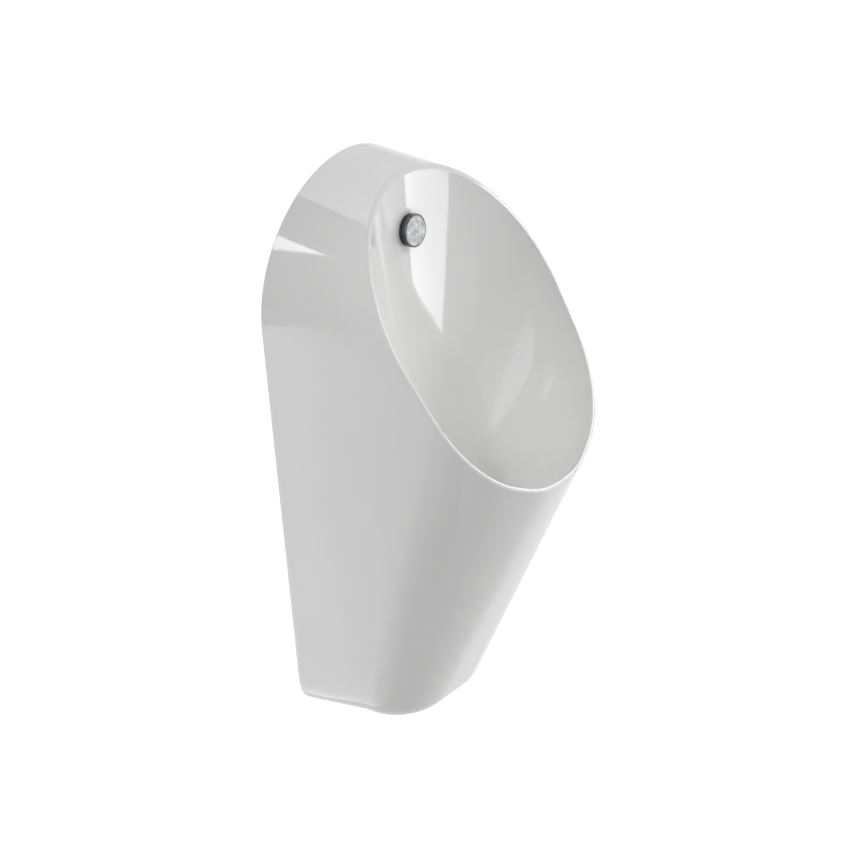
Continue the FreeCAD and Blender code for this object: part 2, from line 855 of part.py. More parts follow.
def make_console():
    plate = console_thickness
    tab_top = hook_height - hook_pad_thickness
    low = inlet_height - console_below_inlet
    half = console_half_width()
    sheet = rounded(block(-half, half, 0, plate, low, tab_top), console_corner_radius, to_wall)
    window_top = tab_top - console_window_drop
    window = rounded(block(-console_window_width / 2, console_window_width / 2, -overrun, plate + overrun,
                           window_top - console_window_height, window_top),
                     console_window_height / 2 - hole_clearance, to_wall)
    sheet = sheet.cut(window)
    tabs = []
    pads = []
    for side in (-1, 1):
        left = side * hook_offset - hook_width / 2
        right = side * hook_offset + hook_width / 2
        tabs.append(block(left, right, 0, hook_reach, tab_top - plate, tab_top))
        tabs.append(block(left, right, hook_reach - plate, hook_reach, tab_top - plate, tab_top + hook_lip))
        pads.append(block(left, right, plate, hook_reach - plate, tab_top, hook_height))
    sheet = fused([sheet] + tabs)
    to_front = -to_wall
    holes = [rod(wall_hole_radius, -overrun, overrun, p, to_front) for p in wall_hole_points()]
    holes.append(rod(valve_radius + hole_clearance, -overrun, overrun, at(0, 0, inlet_height), to_front))
    for screw in valve_screw_points():
        holes.append(rod(valve_screw_radius + thread_clearance, -overrun, overrun, screw, to_front))
    for hole in holes:
        sheet = sheet.cut(hole)
    return {"wall_console": sheet, "hanger_pads": Part.makeCompound(pads)}


# Control and battery cases


def screwed_case(x, middle, width, height):
    """An open case, its lid and its four lid screws, standing on the console."""
    back = console_thickness
    front = back + case_depth
    lid_front = front + lid_thickness
    left, right = x - width / 2, x + width / 2
    low, high = middle - height / 2, middle + height / 2
    outside = rounded(block(left, right, back, front, low, high), case_edge_radius, to_wall)
    hollow = block(left + case_wall, right - case_wall, back + case_wall, front + overrun,
                   low + case_wall, high - case_wall)
    case = outside.cut(rounded(hollow, case_edge_radius - case_wall, to_wall))
    lid = rounded(block(left, right, front, lid_front, low, high), case_edge_radius, to_wall)
    to_front = -to_wall
    inset = lid_boss_radius + case_wall / 2
    screw_end = lid_front - lid_screw_length
    thread = lid_screw_radius + thread_clearance
    bosses = []
    holes = []
    screws = []
    for place_x in (left + inset, right - inset):
        for place_z in (low + inset, high - inset):
            place = at(place_x, 0, place_z)
            bosses.append(rod(lid_boss_radius, back + case_wall, front, place, to_front))
            holes.append(rod(thread, screw_end, lid_front, place, to_front))
            screws.append(turned([
                (0, screw_end),
                (lid_screw_radius, screw_end),
                (lid_screw_radius, lid_front),
                (lid_screw_head_radius, lid_front),
                (lid_screw_head_radius, lid_front + lid_screw_head),
                (0, lid_front + lid_screw_head),
            ], place, to_front))
    case = fused([case] + bosses)
    for hole in holes:
        case = case.cut(hole)
        lid = lid.cut(hole)
    return case, lid, screws


def make_control():
    middle = inlet_height + control_rise
    x = -control_offset
    case, lid, screws = screwed_case(x, middle, control_width, control_height)
    floor = console_thickness + case_wall
    board_back = floor + board_stand
    board_front = board_back + board_thickness
    half_width = control_width / 2 - case_wall - board_gap
    half_height = control_height / 2 - case_wall - 2 * lid_boss_radius - board_gap
    board = block(x - half_width, x + half_width, board_back, board_front,
                  middle - half_height, middle + half_height)
    posts = []
    for side_x in (-1, 1):
        for side_z in (-1, 1):
            place = at(x + side_x * half_width / 2, 0, middle + side_z * half_height / 2)
            posts.append(rod(lid_boss_radius, floor, board_back, place, -to_wall))
    half_sensor = sensor_size / 2
    sensor = rounded(block(x - half_sensor, x + half_sensor, board_front, board_front + sensor_thickness,
                           middle - half_sensor, middle + half_sensor), case_wall, to_wall)
    return {
        "control_case": fused([case] + posts),
        "control_board": board,
        "sensor_module": sensor,
        "control_lid": lid,
        "control_lid_screws": Part.makeCompound(screws),
    }


def make_battery():
    middle = inlet_height - battery_drop
    case, lid, screws = screwed_case(battery_offset, middle, battery_width, battery_height)
    cells = []
    axis_depth = console_thickness + case_wall + cell_radius
    for k in range(cell_count):
        x = battery_offset + (k - (cell_count - 1) / 2) * cell_pitch
        foot = at(x, axis_depth, middle - cell_length / 2)
        cells.append(turned([
            (0, 0),
            (cell_radius, 0),
            (cell_radius, cell_length - cell_tip_length),
            (cell_tip_radius, cell_length - cell_tip_length),
            (cell_tip_radius, cell_length),
            (0, cell_length),
        ], foot, up))
    return {
        "battery_case": case,
        "battery_cells": Part.makeCompound(cells),
        "battery_lid": lid,
        "battery_lid_screws": Part.makeCompound(screws),
    }


# Waste and trap


def strainer_levels():
    """Height of the strainer's seat and of the waste flange's top above the drain seat."""
    top = waste_gasket_thickness + waste_flange_thickness
    return top - strainer_thickness, top


def make_waste():
    drain = at(0, drain_depth(), drain_height)
    seat, top = strainer_levels()
    gasket = waste_gasket_thickness
    recess = waste_flange_radius - strainer_rim
    body = turned([
        (waste_bore_radius, gasket - waste_shank_length),
        (waste_shank_radius, gasket - waste_shank_length),
        (waste_shank_radius, gasket),
        (waste_flange_radius, gasket),
        (waste_flange_radius, top - strainer_thickness / 2),
        (waste_flange_radius - strainer_thickness / 2, top),
        (recess, top),
        (recess, seat),
        (waste_bore_radius, seat),
    ], drain, up)
    strainer_radius = recess - strainer_clearance
    knob_top = top + strainer_knob_height
    strainer = fused([
        rod(strainer_radius, seat, top, drain, up),
        turned([
            (0, top),
            (strainer_knob_radius, top),
            (strainer_knob_radius, knob_top - strainer_knob_round),
            (strainer_knob_radius - strainer_knob_round, knob_top),
            (0, knob_top),
        ], drain, up),
    ])
    for level in range(1, strainer_ring_count + 1):
        count = 6 * level
        circle = strainer_ring_pitch * level
        for k in range(count):
            turn = 2 * math.pi * k / count
            place = drain + V(math.cos(turn), math.sin(turn), 0) * circle
            strainer = strainer.cut(rod(strainer_hole_radius, seat, top, place, up))
    under = -bowl_wall
    nut_top = under - lower_gasket_thickness
    nut_low = nut_top - waste_nut_thickness
    inner = waste_shank_radius + hole_clearance
    nut = ring(waste_shank_radius + thread_clearance, waste_nut_radius, nut_low, nut_top, drain, up)
    for k in range(waste_nut_notch_count):
        turn = 2 * math.pi * k / waste_nut_notch_count
        place = drain + V(math.cos(turn), math.sin(turn), 0) * waste_nut_radius
        nut = nut.cut(rod(waste_nut_notch_radius, nut_low, nut_top, place, up))
    return {
        "waste_gasket_upper": ring(inner, waste_gasket_radius, 0, gasket, drain, up),
        "waste_body": body,
        "drain_strainer": strainer,
        "waste_gasket_lower": ring(inner, lower_gasket_radius, nut_top, under, drain, up),
        "waste_nut": nut,
    }


def trap_places():
    """Depths of the trap's two legs, and the levels of its U bend and of the bell on the rising leg."""
    falling = drain_depth()
    rising = falling - 2 * trap_bend_radius
    level = drain_height - trap_drop
    return falling, rising, level, level + trap_bell_rise


def outlet_axis():
    bell = trap_places()[3]
    return at(0, 0, bell + trap_turn_rise + trap_bend_radius)


def swept(radius, edges, direction):
    """A round bar along joined edges that set off in the given direction."""
    path = Part.Wire(edges)
    circle = Part.Circle(edges[0].Vertexes[0].Point, direction, radius).toShape()
    return path.makePipeShell([Part.Wire([circle])], True, True)


def u_bend_edges():
    falling, rising, level, bell = trap_places()
    middle = falling - trap_bend_radius
    start = at(0, falling, drain_height - trap_entry)
    low_front = at(0, falling, level)
    low_back = at(0, rising, level)
    return [
        Part.LineSegment(start, low_front).toShape(),
        Part.Arc(low_front, at(0, middle, level - trap_bend_radius), low_back).toShape(),
        Part.LineSegment(low_back, at(0, rising, bell - trap_tail_engagement)).toShape(),
    ]


def outlet_bend_edges(end_depth):
    falling, rising, level, bell = trap_places()
    turn = bell + trap_turn_rise
    half = trap_bend_radius * math.sin(math.pi / 4)
    centre = at(0, rising - trap_bend_radius, turn)
    start = at(0, rising, bell - trap_tail_engagement)
    leg_top = at(0, rising, turn)
    leg_back = centre + up * trap_bend_radius
    return [
        Part.LineSegment(start, leg_top).toShape(),
        Part.Arc(leg_top, centre + at(0, half, half), leg_back).toShape(),
        Part.LineSegment(leg_back, at(0, end_depth, leg_back.z)).toShape(),
    ]


def slip_joint(end, axis):
    """The washer and the grooved nut that close a bell over the trap's tube."""
    tube = trap_tube_radius + trap_clearance
    bell = waste_shank_radius
    lip = slip_washer_thickness + slip_nut_lip
    washer = ring(tube, bell, 0, slip_washer_thickness, end, axis)
    nut = turned([
        (bell + thread_clearance, -slip_nut_grip),
        (slip_nut_radius, -slip_nut_grip),
        (slip_nut_radius, lip),
        (tube, lip),
        (tube, slip_washer_thickness),
        (bell + thread_clearance, slip_washer_thickness),
    ], end, axis)
    for k in range(slip_nut_notch_count):
        turn = 2 * math.pi * k / slip_nut_notch_count
        place = end + V(math.cos(turn), math.sin(turn), 0) * (slip_nut_radius + slip_nut_notch_radius / 2)
        nut = nut.cut(rod(slip_nut_notch_radius, -slip_nut_grip, lip, place, axis))
    return washer, nut


def make_trap():
    falling, rising, level, bell = trap_places()
    to_front = -to_wall
    bore = trap_tube_radius - trap_tube_wall
    socket = trap_tube_radius + trap_clearance
    bottom = at(0, falling - trap_bend_radius, level - trap_bend_radius)
    bell_foot = at(0, rising, bell)
    u_bend = fused([
        swept(trap_tube_radius, u_bend_edges(), -up),
        rod(waste_shank_radius, -trap_bell_length, 0, bell_foot, up),
        rod(cleanout_boss_radius, -cleanout_boss_drop, 0, bottom, up),
    ])
    u_bend = u_bend.cut(swept(bore, u_bend_edges(), -up))
    u_bend = u_bend.cut(rod(socket, -trap_tail_engagement, 0, bell_foot, up))
    u_bend = u_bend.cut(rod(cleanout_hole_radius, -cleanout_boss_drop, 0, bottom, up))
    seal_low = -cleanout_boss_drop - cleanout_seal_thickness
    thread = cleanout_hole_radius - thread_clearance
    plug = fused([
        rod(thread, seal_low, cleanout_plug_length - cleanout_boss_drop, bottom, up),
        hexagon(cleanout_plug_across, seal_low - cleanout_plug_head, seal_low, bottom, up),
    ])
    plug_seal = ring(cleanout_hole_radius, cleanout_seal_radius, seal_low, -cleanout_boss_drop, bottom, up)
    waste_end = at(0, falling, drain_height + waste_gasket_thickness - waste_shank_length)
    lower_washer, lower_nut = slip_joint(waste_end, -up)
    upper_washer, upper_nut = slip_joint(bell_foot, up)
    axis = outlet_axis()
    socket_front = wall_seal_thickness + outlet_socket_length
    stop_front = socket_front - outlet_engagement
    stop_back = stop_front - outlet_stop_length
    outlet_bend = swept(trap_tube_radius, outlet_bend_edges(stop_front), up)
    outlet_bend = outlet_bend.cut(swept(bore, outlet_bend_edges(stop_front), up))
    outside = outlet_socket_bore + outlet_socket_wall
    outlet_socket = turned([
        (outlet_socket_bore, wall_seal_thickness),
        (outside, wall_seal_thickness),
        (outside, socket_front),
        (socket, socket_front),
        (socket, stop_front),
        (bore, stop_front),
        (bore, stop_back),
        (outlet_socket_bore, stop_back),
    ], axis, to_front)
    seal_bore = outlet_socket_bore + hole_clearance
    wall_seal = ring(seal_bore, wall_seal_radius, 0, wall_seal_thickness, axis, to_front)
    return {
        "trap_u_bend": u_bend,
        "trap_plug": plug,
        "trap_plug_seal": plug_seal,
        "slip_washers": Part.makeCompound([lower_washer, upper_washer]),
        "slip_nuts": Part.makeCompound([lower_nut, upper_nut]),
        "trap_outlet_bend": outlet_bend,
        "outlet_socket": outlet_socket,
        "outlet_wall_seal": wall_seal,
    }


# Lower fixing


def make_lower_fixing():
    screw = at(0, floor_screw_depth, 0)
    foot = floor_pad_height
    leg = block(-bracket_half_width, bracket_half_width, 0, bracket_reach, foot, foot + bracket_thickness)
    upright = block(-bracket_half_width, bracket_half_width, 0, bracket_thickness, foot, foot + bracket_rise)
    nut_top = foot + bracket_thickness + weld_nut_thickness
    nut = hexagon(weld_nut_across, foot + bracket_thickness, nut_top, screw, up)
    leg = rounded(leg, bracket_edge_radius, up)
    upright = rounded(upright, bracket_edge_radius, to_wall)
    bracket = fused([leg, upright, nut])
    bracket = bracket.cut(rod(floor_screw_radius + thread_clearance, 0, nut_top, screw, up))
    for side in (-1, 1):
        hole = at(side * bracket_hole_spacing / 2, 0, foot + bracket_hole_rise)
        bracket = bracket.cut(rod(bracket_hole_radius, -overrun, overrun, hole, -to_wall))
    washer_low = floor_counterbore_height - floor_washer_thickness
    head_low = washer_low - floor_screw_head
    screw_solid = turned([
        (0, head_low),
        (floor_screw_head_radius, head_low),
        (floor_screw_head_radius, washer_low),
        (floor_screw_radius, washer_low),
        (floor_screw_radius, nut_top),
        (0, nut_top),
    ], screw, up)
    plug = rod(floor_counterbore_radius - cap_plug_gap, head_low - cap_plug_thickness, head_low, screw, up)
    return {
        "lower_bracket": bracket,
        "lower_screw": screw_solid,
        "lower_washer": ring(floor_screw_radius + hole_clearance, floor_washer_radius, washer_low,
                             floor_counterbore_height, screw, up),
        "lower_screw_plug": plug,
    }


pieces = {"ceramic_body": make_ceramic()}
makers = [
    make_spray_head,
    make_flush_line,
    make_stop_valve,
    make_solenoid,
    make_console,
    make_control,
    make_battery,
    make_waste,
    make_trap,
    make_lower_fixing,
]
for maker in makers:
    pieces.update(maker())

os.makedirs("parts", exist_ok=True)
for name, shape in pieces.items():
    moved = shape.copy()
    moved.translate(V(0, 0, -origin_height))
    moved.exportStep("parts/" + name + ".step")
    print(name, len(moved.Solids), round(moved.Volume), moved.isValid())
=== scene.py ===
import json
import math
import bmesh
import bpy
import numpy as np
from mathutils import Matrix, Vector
from mathutils.bvhtree import BVHTree


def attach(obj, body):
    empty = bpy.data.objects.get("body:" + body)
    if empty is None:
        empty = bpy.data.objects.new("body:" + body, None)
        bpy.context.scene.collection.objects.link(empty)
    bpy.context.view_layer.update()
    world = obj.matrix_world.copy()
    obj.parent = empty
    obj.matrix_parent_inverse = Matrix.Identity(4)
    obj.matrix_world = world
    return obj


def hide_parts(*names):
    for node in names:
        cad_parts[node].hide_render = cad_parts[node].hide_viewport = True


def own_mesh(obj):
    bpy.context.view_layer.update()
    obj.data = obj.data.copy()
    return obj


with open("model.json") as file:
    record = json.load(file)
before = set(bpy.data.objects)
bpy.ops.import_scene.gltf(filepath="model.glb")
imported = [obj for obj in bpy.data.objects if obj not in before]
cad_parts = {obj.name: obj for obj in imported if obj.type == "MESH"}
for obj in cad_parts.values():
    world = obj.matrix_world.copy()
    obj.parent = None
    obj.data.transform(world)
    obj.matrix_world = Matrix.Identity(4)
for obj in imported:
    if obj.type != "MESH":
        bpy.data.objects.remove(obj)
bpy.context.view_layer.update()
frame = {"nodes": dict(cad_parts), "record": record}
scene = bpy.context.scene
mm = 0.001
mergeGap = 1e-6  # metres
print("frame loaded,", len(frame["nodes"]), "nodes")

# ceramic: sizes in mm, and points as (x, depth in front of the wall, height above the base)
ceramicShape = {
    "originHeight": 433.5,  # the frame's origin above the base
    "bodyHeight": 650.0, "domeRadius": 139.8, "flankLean": 7.07, "sideDraft": 0.003, "baseRise": 0.165,
    "baseDepth": 135.2, "lipDepth": 289.1, "lipHeight": 349.05, "rimTopDepth": 80.8,
    "cornerBase": 56.759, "cornerLip": 106.248, "baseEdge": 42.639, "skinWall": 11.0,
    "crownHalf": 66.0, "crownRise": 6.0,  # how wide and how far the front swells
    "rimWidth": 4.2, "rimOuter": 2.6, "rimInner": 0.8, "mouthLift": 0.5,
    "bowlDrop": 78.0, "backHollow": 7.0, "bowlWall": 13.0,
    "ribStart": 0.35, "ribEnd": 0.3, "ribGap": 0.8, "ribNarrow": 0.93, "sideSpread": 0.4,
    "drainDepth": 177.269, "seatRadius": 38.0, "seatLoop": 31.0, "holeRadius": 25.6,
    "sprayDrop": 66.5, "sprayTilt": 10.5, "spraySeat": 17.2,
    "seatBlend": 3.0, "seatFade": 5.0, "seatReach": 30.0,  # how the flat under the spray head runs out
    "edgeBreak": 1.0, "edgeHalf": 0.3,  # the small bevel of the wall edge and of the drain hole
    "sharpAngle": 50,
}
# the ceramic's mesh: counts, and distances in mm
ceramicMesh = {
    "turns": 360, "skinRings": 92, "bowlRings": 72, "edgeRings": 8,
    "heartDrop": 110,  # the point below the rim from which the skin's paths are cast
    "pathSamples": 360, "bendWeight": 1.2, "bendEase": 1.5, "blurWidth": 2, "blurSide": 6,
    "rimGap": 3.2, "bowlGap": 1.6,  # first ring outside and inside the rim's rounded edges
    "searchReach": 900.0, "halvings": 44, "mouthSearch": 0.2, "ribStep": 0.004,
}
s, m = ceramicShape, ceramicMesh
domeHeight = s["bodyHeight"] - s["domeRadius"]
frontLean = math.atan2(s["lipDepth"] - s["baseDepth"], s["lipHeight"])
rimTopHeight = s["bodyHeight"] - s["sideDraft"] * s["rimTopDepth"]
rimLean = math.atan2(s["lipDepth"] - s["rimTopDepth"], rimTopHeight - s["lipHeight"])
rimNormal = np.array([0.0, math.cos(rimLean), math.sin(rimLean)])
rimUp = np.array([0.0, -math.sin(rimLean), math.cos(rimLean)])
rimRight = np.array([1.0, 0.0, 0.0])
rimCentre = np.array([0.0, (s["lipDepth"] + s["rimTopDepth"]) / 2, (s["lipHeight"] + rimTopHeight) / 2])
drainDepth = s["drainDepth"]
drainHeight = s["lipHeight"] - s["bowlDrop"]
sprayHeight = s["bodyHeight"] - s["sprayDrop"]
sprayTilt = math.radians(s["sprayTilt"])
sprayAxis = np.array([0.0, math.cos(sprayTilt), math.sin(sprayTilt)])


def toRow(p):
    # (x, depth, height) in mm to the frame's metres
    return np.stack([p[..., 0], -p[..., 1], p[..., 2] - s["originHeight"]], -1) * mm


def unit(v):
    return v / np.maximum(np.linalg.norm(v, axis=-1, keepdims=True), 1e-12)


def dot(a, b):
    return (a * b).sum(-1)


def lastPlace(test, low, high):
    # halves the span until the last place where the test holds is left
    for _ in range(m["halvings"]):
        middle = (low + high) / 2
        holds = test(middle)
        low, high = np.where(holds, middle, low), np.where(holds, high, middle)
    return low


def roundedMeet(g, gDir, e, eDir, radius):
    # two faces that meet in a rounded edge
    mix = dot(gDir, eDir)
    gIn, eIn = g + radius, e + radius
    below = np.maximum(1 - mix * mix, 1e-9)
    along = (gIn - mix * eIn) / below
    across = (eIn - mix * gIn) / below
    reach = np.sqrt(np.maximum(gIn * gIn + eIn * eIn - 2 * mix * gIn * eIn, 0) / below)
    onArc = (along > 0) & (across > 0)
    arcDir = unit(along[..., None] * gDir + across[..., None] * eDir)
    plainDir = np.where((g > e)[..., None], gDir, eDir)
    return np.where(onArc, reach - radius, np.maximum(g, e)), np.where(onArc[..., None], arcDir, plainDir)


def crown(x, height):
    # how far the front swells forward between its corners, most at the lip
    across = np.clip(1 - (x / s["crownHalf"]) ** 2, 0, 1) ** 2
    return s["crownRise"] * across * np.clip(height / s["lipHeight"], 0, 1)


def outside(p):
    # how far a point is outside the body, and the way out
    x, z = np.abs(p[..., 0]), p[..., 2] - domeHeight
    d = p[..., 1] - crown(x, p[..., 2])
    lean = math.radians(s["flankLean"])
    draft = math.cos(math.atan(s["sideDraft"]))
    radius = s["domeRadius"] - s["sideDraft"] * d
    polar = np.sqrt(x * x + z * z) + 1e-9
    onDome = x * math.sin(lean) + z * math.cos(lean) > 0
    arch = np.where(onDome, polar - radius, x * math.cos(lean) - z * math.sin(lean) - radius) * draft
    flankDir = np.array([math.cos(lean), s["sideDraft"], -math.sin(lean)]) * draft
    domeDir = np.stack([x / polar, np.full_like(x, s["sideDraft"]), z / polar], -1) * draft
    archDir = np.where(onDome[..., None], domeDir, flankDir)
    frontDir = np.array([0.0, math.cos(frontLean), -math.sin(frontLean)])
    front = (d - s["baseDepth"] - p[..., 2] * math.tan(frontLean)) * math.cos(frontLean)
    # the corner between flank and front is a cone that widens upwards
    edge = unit(np.cross(frontDir, flankDir))
    edge = edge * np.sign(edge[2])
    growth = (s["cornerLip"] - s["cornerBase"]) / s["lipHeight"]
    footX = (s["domeRadius"] - s["sideDraft"] * s["baseDepth"] - domeHeight * math.sin(lean)) / math.cos(lean)
    tip = np.array([footX, s["baseDepth"], 0.0]) - edge * (s["cornerBase"] / growth / edge[2])
    widening = growth * edge[2]
    mix = float(flankDir @ frontDir)
    q = np.stack([x, d, p[..., 2]], -1) - tip
    along = q @ edge
    across = q - along[..., None] * edge
    across = across + (widening * along)[..., None] * (flankDir + frontDir) / (1 + mix)
    reach = np.linalg.norm(across, axis=-1) + 1e-9
    a, b = across @ flankDir, across @ frontDir
    inCorner = (a > mix * b) & (b > mix * a) & ~onDome
    wall = np.where(inCorner, reach - widening * along, np.maximum(arch, front))
    wallDir = np.where((arch > front)[..., None], archDir, frontDir)
    wallDir = np.where(inCorner[..., None], across / reach[..., None], wallDir)
    level = math.cos(math.atan(s["baseRise"]))
    base = (s["baseRise"] * d - p[..., 2]) * level
    baseDir = np.broadcast_to(np.array([0.0, s["baseRise"], -1.0]) * level, wallDir.shape)
    value, way = roundedMeet(wall, wallDir, base, baseDir, s["baseEdge"])
    side = np.where(p[..., 0] < 0, -1.0, 1.0)
    return value, way * np.stack([side, np.ones_like(side), np.ones_like(side)], -1)


def reachTo(start, way, inset):
    # how far a ray goes from inside the body until it is inset below the outside
    def within(far):
        return outside(start + way * far[..., None])[0] + inset < 0

    return lastPlace(within, np.zeros(way.shape[:-1]), np.full(way.shape[:-1], m["searchReach"]))


def rimOutline(turns, inset, lift=0.0):
    way = np.cos(turns)[:, None] * rimRight + np.sin(turns)[:, None] * rimUp
    start = rimCentre + rimNormal * lift
    return start + way * reachTo(start, way, inset)[:, None]


def skinRings(turns, startGap):
    # paths over the outside, from just below the rim to the wall
    heart = rimCentre - rimNormal * m["heartDrop"]
    flat = np.cos(turns)[:, None] * rimRight + np.sin(turns)[:, None] * rimUp
    toEdge = rimOutline(turns, 0) - heart
    firstTilt = np.arctan2(dot(toEdge, flat), toEdge @ rimNormal)

    def cast(tilt):
        way = np.cos(tilt)[..., None] * rimNormal + np.sin(tilt)[..., None] * flat[:, None, :]
        return heart + way * reachTo(heart, way, 0)[..., None]

    def beforeWall(tilt):
        return cast(tilt[:, None])[:, 0, 1] > 0

    lastTilt = lastPlace(beforeWall, firstTilt, np.full_like(firstTilt, math.pi * 0.999))
    tiltSpan = (lastTilt - firstTilt)[:, None]
    share = np.linspace(0, 1, m["pathSamples"])
    points = cast(firstTilt[:, None] + tiltSpan * share)
    # rings lie closer where the path bends
    step = np.linalg.norm(np.diff(points, axis=1), axis=-1)
    bend = np.linalg.norm(np.diff(outside(points)[1], axis=1), axis=-1)
    start = np.zeros((len(turns), 1))
    length = np.concatenate([start, np.cumsum(step, 1)], 1)
    bendShare = bend / (m["bendEase"] + bend.sum(1, keepdims=True))
    weight = step / step.sum(1, keepdims=True) + m["bendWeight"] * bendShare
    track = np.concatenate([start, np.cumsum(weight, 1)], 1)
    places = []
    for k in range(len(turns)):
        first = np.interp(startGap, length[k], share)
        begin = np.interp(first, share, track[k])
        places.append(np.interp(np.linspace(begin, track[k, -1], m["skinRings"]), track[k], share))
    # neighbouring paths are evened out
    places = np.array(places)
    blurSide = m["blurSide"]
    blur = np.exp(-np.linspace(-m["blurWidth"], m["blurWidth"], 2 * blurSide + 1) ** 2)
    wide = np.concatenate([places[-blurSide:], places, places[:blurSide]])
    even = [np.convolve(wide[:, k], blur / blur.sum(), "valid") for k in range(m["skinRings"])]
    return cast(firstTilt[:, None] + tiltSpan * np.stack(even, 1))


def bowlRibs(turns):
    # four control points for each rib of the bowl, from the rim to the seat of the drain
    start = rimOutline(turns, s["rimWidth"], s["mouthLift"])
    top = rimOutline(np.array([math.pi / 2]), s["rimWidth"], s["mouthLift"])[0]
    x, d, z = start[:, 0], start[:, 1], start[:, 2]
    slope = (drainDepth - s["seatRadius"] - top[1]) / (top[2] - drainHeight)
    angle = np.arctan2((z - (z.max() + z.min()) / 2) / (z.max() - z.min()) * 2, x / x.max())
    rise, side = np.sin(angle), np.cos(angle)
    fall = z - drainHeight
    seatX, seatDepth = s["seatRadius"] * side, drainDepth - s["seatRadius"] * rise
    end = np.stack([seatX, seatDepth, np.full_like(z, drainHeight)], -1)
    drop = s["ribStart"] * fall
    gap = d - (top[1] + (top[2] - z) * slope)
    backLine = top[1] + (top[2] - z + drop) * slope
    hollow = s["backHollow"] * np.maximum(0, rise) ** 2
    behind = np.stack([x * s["ribNarrow"], backLine + s["ribGap"] * gap - hollow, z - drop], -1)
    ahead = np.stack([x * s["ribNarrow"], d - drop * math.tan(frontLean), z - drop], -1)
    first = behind + (ahead - behind) * (((1 - rise) / 2) ** 2)[:, None]
    lift = s["ribEnd"] * fall
    flare = np.where(rise > 0, slope, math.tan(frontLean))
    spread = lift * (s["sideSpread"] * side ** 2 + flare * rise ** 2)
    second = end + np.stack([side * spread, -rise * spread, lift], -1)
    return start, first, second, end


def ribPoint(ribs, t):
    a, b, c, d = ribs
    t = t[:, None]
    return a * (1 - t) ** 3 + b * (3 * (1 - t) ** 2 * t) + c * (3 * (1 - t) * t * t) + d * t ** 3


def roundedEdge(corner, wayA, wayB, radius, count):
    # an arc that rounds a corner between two directions
    opening = np.arccos(np.clip(dot(wayA, wayB), -1, 1))
    length = (radius / np.tan(opening / 2))[:, None]
    pull = np.sin(opening / 2)[:, None]
    a, b = corner + wayA * length, corner + wayB * length
    arcs = []
    for t in np.linspace(0, 1, count):
        parts = ((1 - t) ** 2, 2 * t * (1 - t) * pull, t * t)
        arcs.append((a * parts[0] + corner * parts[1] + b * parts[2]) / sum(parts))
    return arcs


def sprayPoint():
    # where the back rib of the bowl passes the height of the spray head
    turns = np.array([math.pi / 2, 0.0, -math.pi / 2, math.pi])
    ribs = bowlRibs(turns)

    def onBackRib(t):
        return ribPoint(ribs, np.full(len(turns), t))[0]

    return onBackRib(lastPlace(lambda t: onBackRib(t)[2] > sprayHeight, 0.0, 1.0))


def fromSpray(p, point):
    # how far points are ahead of the spray head's seat, and away from its axis
    q = p - point
    ahead = q @ sprayAxis
    return ahead, np.linalg.norm(q - ahead[..., None] * sprayAxis, axis=-1)


def ringTangent(ring):
    return unit(np.roll(ring, -1, 0) - np.roll(ring, 1, 0))


def square(way, tangent):
    # a direction made square to a ring
    return unit(way - dot(way, tangent)[:, None] * tangent)


def ceramicRings():
    turns = np.linspace(0, 2 * math.pi, m["turns"], endpoint=False) - math.pi / 2
    outer = rimOutline(turns, 0)
    tangent = ringTangent(outer)
    inward = np.cross(rimNormal, tangent)
    inward = inward * np.sign(dot(inward, rimCentre - outer))[:, None]
    skin = skinRings(turns, m["rimGap"])
    down = square(skin[:, 0] - outer, tangent)
    outerArc = roundedEdge(outer, down, inward, s["rimOuter"], m["edgeRings"])
    ribs = bowlRibs(turns)
    searchStart, searchEnd = np.zeros(len(turns)), np.full(len(turns), m["mouthSearch"])
    mouth = lastPlace(lambda t: (ribPoint(ribs, t) - rimCentre) @ rimNormal > 0, searchStart, searchEnd)
    inner = ribPoint(ribs, mouth)
    innerTangent = ringTangent(inner)
    outward = np.cross(rimNormal, innerTangent)
    outward = outward * np.sign(dot(outward, inner - rimCentre))[:, None]
    stepIn = ribPoint(ribs, mouth + m["ribStep"]) - inner
    innerArc = roundedEdge(inner, outward, square(stepIn, innerTangent), s["rimInner"], m["edgeRings"])
    # back edge: the flat that meets the wall, then over the skin to the rim
    back = skin[:, -1].copy()
    back[:, 1] = 0
    way = outside(back)[1]
    way[:, 1] = 0
    way = unit(way)
    forward = np.array([0, 1, 0])
    rings = [back - way * s["skinWall"], back - way * s["edgeBreak"]]
    rings += [back - way * s["edgeHalf"] + forward * s["edgeHalf"], back + forward * s["edgeBreak"]]
    rings += [skin[:, k] for k in range(m["skinRings"] - 2, -1, -1)]
    rings += outerArc + innerArc
    gone = np.linalg.norm(innerArc[-1] - inner, axis=-1)
    speed = np.linalg.norm(stepIn, axis=-1) / m["ribStep"]
    begin = mouth + (gone + m["bowlGap"]) / speed
    point = sprayPoint()
    for k in range(m["bowlRings"]):
        p = ribPoint(ribs, begin + (1 - begin) * k / (m["bowlRings"] - 1))
        # flat seat under the spray head
        ahead, apart = fromSpray(p, point)
        press = np.clip((s["spraySeat"] + s["seatBlend"] - apart) / s["seatFade"], 0, 1)
        press = press * press * (3 - 2 * press) * (np.abs(ahead) < s["seatReach"])
        rings.append(p - (np.maximum(ahead, 0) * press)[:, None] * sprayAxis)
    # the seat of the waste and its hole, as (radius, depth below the seat)
    seat = rings[-1]
    centre = np.array([0, drainDepth, drainHeight])
    hole = s["holeRadius"]
    for radius, sink in ((s["seatLoop"], 0), (hole + s["edgeBreak"], 0), (hole + s["edgeHalf"], s["edgeHalf"]),
                         (hole, s["edgeBreak"]), (hole, s["bowlWall"])):
        rings.append(centre + (seat - centre) * radius / s["seatRadius"] - np.array([0, 0, sink]))
    return np.stack(rings, 1)


